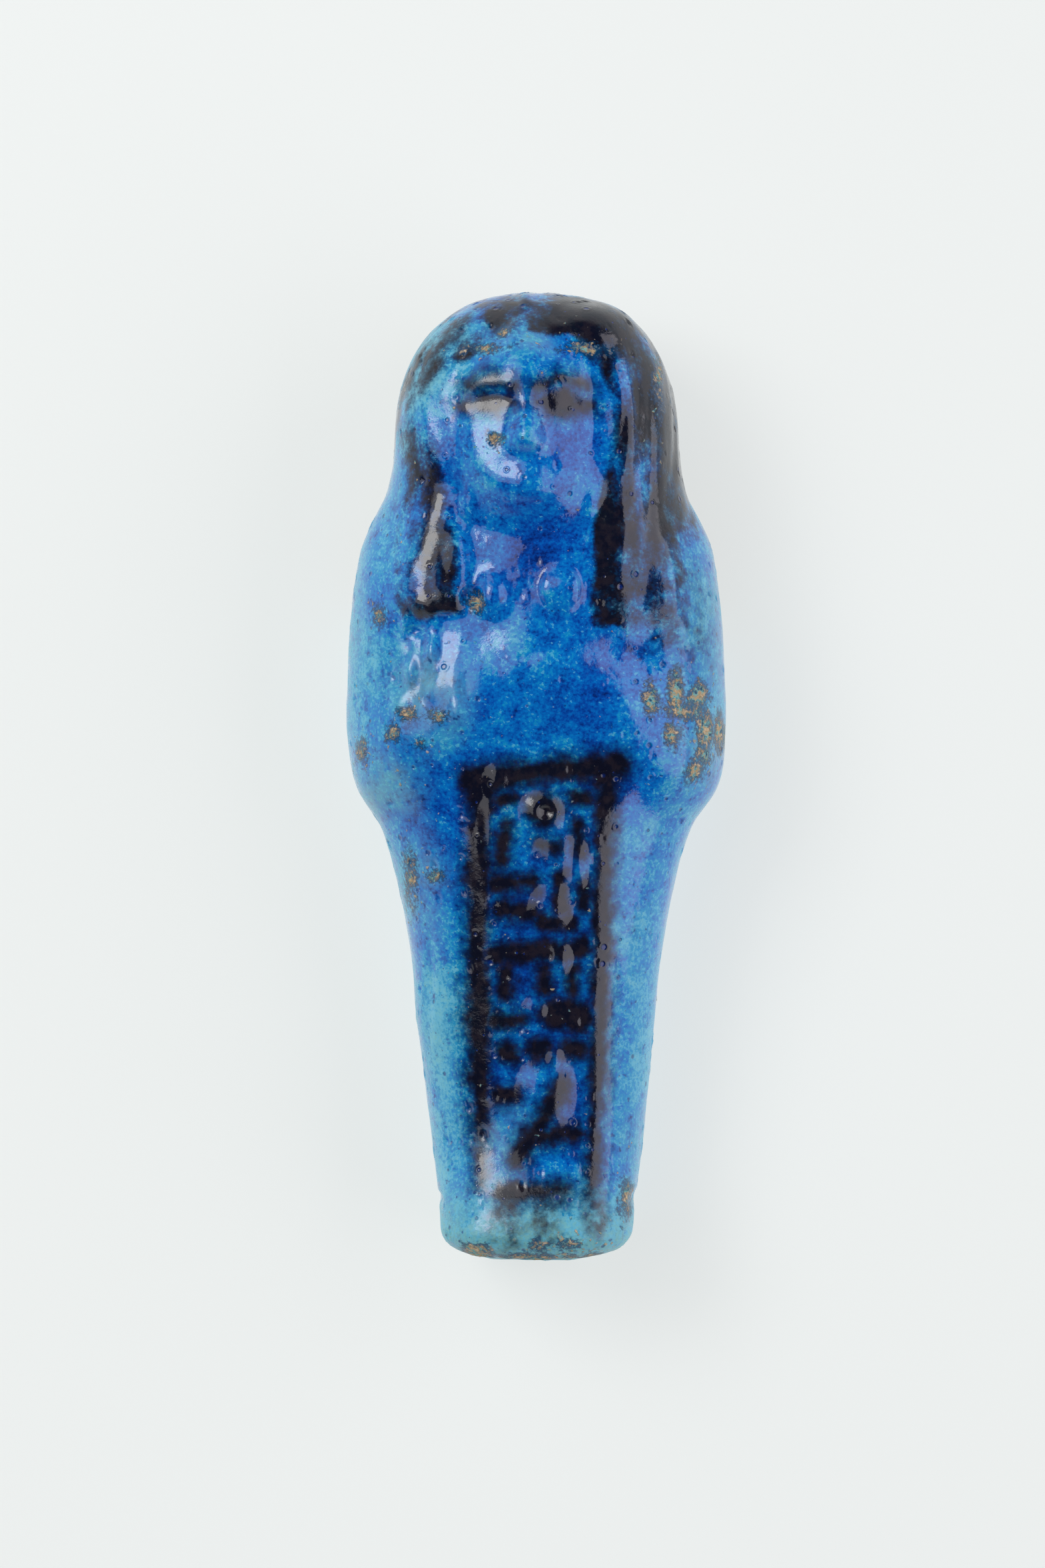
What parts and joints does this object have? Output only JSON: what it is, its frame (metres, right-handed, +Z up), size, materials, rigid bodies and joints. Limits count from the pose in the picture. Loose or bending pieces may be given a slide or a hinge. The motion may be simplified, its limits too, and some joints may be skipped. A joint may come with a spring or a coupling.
{
  "type": "ushabti figurine",
  "caption": "Mummy-shaped servant figure in glossy blue glazed faience, with a lappet wig, folded arms and a painted column of strokes down the legs, lying on its flat back.",
  "frame": {"origin": "on the ground, under the middle of the figure's length and width, as it lies on its flat back", "axes": "+Y from the sole to the crown, +Z up out of the breast, +X towards the right as the figure is seen from above with its head at the top"},
  "size_m": [0.0394, 0.1, 0.0263],
  "materials": {
    "glazed_faience": "glossy, pitted copper-blue glaze over a sandy quartz body, with the wig and strokes painted black under the glaze"
  },
  "bodies": {
    "root": {"figurine": "glazed_faience"}
  },
  "joints": []
}
